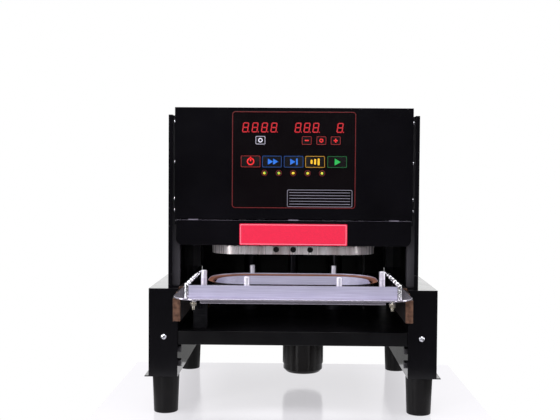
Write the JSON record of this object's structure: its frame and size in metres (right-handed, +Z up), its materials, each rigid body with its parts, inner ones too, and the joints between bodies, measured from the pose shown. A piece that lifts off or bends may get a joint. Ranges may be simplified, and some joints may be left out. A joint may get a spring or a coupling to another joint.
{
  "type": "foil container sealing machine",
  "caption": "Table-top sealing machine with a sliding mould drawer, a motor-driven heater plate press, a hanging safety door, a control fascia and two leg boxes.",
  "frame": {"origin": "centre of the whole object's box, drawer out, at the floor under the feet", "axes": "+X to the right seen from the front, +Y into the machine, +Z up"},
  "size_m": [0.4086, 0.459, 0.425],
  "materials": {
    "black_paint": "gloss",
    "dark_paint": "satin",
    "black_rubber": "matt",
    "zinc": "bright zinc",
    "black_screw": "satin",
    "overlay": "gloss",
    "key_red": "gloss",
    "lamp": "gloss",
    "display": "gloss",
    "board_green": "satin",
    "plate_red": "gloss",
    "dark_plastic": "satin",
    "rocker_red": "gloss",
    "ground_steel": "ground",
    "machined_plate": "machined",
    "bronze": "machined",
    "motor_black": "gloss",
    "gearbox_grey": "satin",
    "insulation": "matt",
    "heater_metal": "brushed",
    "rail_steel": "rolled",
    "stainless": "polished",
    "mould_metal": "brushed",
    "silicone": "satin",
    "pin_steel": "polished",
    "supply_steel": "perforated"
  },
  "bodies": {
    "machine": {"left_leg_box": "black_paint", "right_leg_box": "black_paint", "rubber_feet": "black_rubber", "foot_bolts": "zinc", "front_leg_screws": "zinc", "inner_leg_bolts": "zinc", "deck_plate": "dark_paint", "corner_posts": "dark_paint", "left_side_panel": "black_paint", "right_side_panel": "black_paint", "side_panel_screws": "black_screw", "top_cover": "black_paint", "rear_panel": "black_paint", "power_inlet": "dark_plastic", "rocker_bezel": "dark_plastic", "front_fascia": "black_paint", "fascia_fixings": "zinc", "control_overlay": "overlay", "control_keys": "key_red", "status_lamps": "lamp", "digit_modules": "display", "control_board": "board_green", "door_rod": "zinc", "door_switch": "dark_plastic", "guide_columns": "ground_steel", "column_flanges": "machined_plate", "head_plate": "machined_plate", "head_plate_screws": "black_screw", "thrust_bearing": "ground_steel", "press_gearbox": "gearbox_grey", "press_motor": "motor_black", "outer_rails": "rail_steel", "screw_blocks": "machined_plate", "drawer_motor": "gearbox_grey", "limit_switches": "dark_plastic", "power_supply": "supply_steel"},
    "slide_middle": {"middle_rails": "rail_steel"},
    "drawer": {"inner_rails": "rail_steel", "carriage_plate": "stainless", "carriage_tray": "stainless", "drawer_nut_block": "bronze", "float_springs": "zinc"},
    "mould": {"mould_plate": "mould_metal", "rim_seal": "silicone", "locating_pins": "pin_steel", "edge_ribs": "pin_steel", "float_studs": "pin_steel"},
    "drawer_drive": {"drawer_screw": "ground_steel"},
    "press": {"press_head": "machined_plate", "press_nut": "bronze", "guide_bushes": "bronze", "heat_spacers": "insulation", "heater_plate": "heater_metal", "cartridge_heaters": "ground_steel", "thermocouple": "ground_steel"},
    "press_drive": {"press_screw": "ground_steel", "press_coupling": "ground_steel"},
    "door": {"safety_door": "black_paint", "door_plate": "plate_red"},
    "rocker": {"power_rocker": "rocker_red"}
  },
  "joints": [
    {"name": "drawer_slide", "type": "slide", "parent": "machine", "child": "drawer", "axis": [0, 1, 0], "range_m": [0, 0.1525]},
    {"name": "middle_slide", "type": "slide", "parent": "machine", "child": "slide_middle", "axis": [0, 1, 0], "range_m": [0, 0.0763]},
    {"name": "drawer_screw_spin", "type": "hinge", "parent": "machine", "child": "drawer_drive", "pos_m": [-0.13, 0, 0.1475], "axis": [0, 1, 0], "range_deg": [0, 6863]},
    {"name": "mould_lift", "type": "slide", "parent": "drawer", "child": "mould", "axis": [0, 0, 1], "range_m": [0, 0.0014], "stiffness_N_per_m": 2000, "springref_m": -0.0015, "deforming": ["float_springs"]},
    {"name": "press_slide", "type": "slide", "parent": "machine", "child": "press", "axis": [0, 0, -1], "range_m": [0, 0.024]},
    {"name": "press_screw_spin", "type": "hinge", "parent": "machine", "child": "press_drive", "pos_m": [0, 0.1285, 0.2], "axis": [0, 0, 1], "range_deg": [0, 541]},
    {"name": "safety_door_hinge", "type": "hinge", "parent": "machine", "child": "door", "pos_m": [0, -0.08045, 0.2675], "axis": [-1, 0, 0], "range_deg": [0, 75]},
    {"name": "power_rocker_tilt", "type": "hinge", "parent": "machine", "child": "rocker", "pos_m": [0.05, 0.2189, 0.1455], "axis": [-1, 0, 0], "range_deg": [0, 20]}
  ],
  "couplings": [
    {"joint": "middle_slide", "follows": "drawer_slide", "ratio": 0.5},
    {"joint": "drawer_screw_spin", "follows": "drawer_slide", "rad_per_m": 785.4},
    {"joint": "press_screw_spin", "follows": "press_slide", "rad_per_m": 392.7}
  ]
}
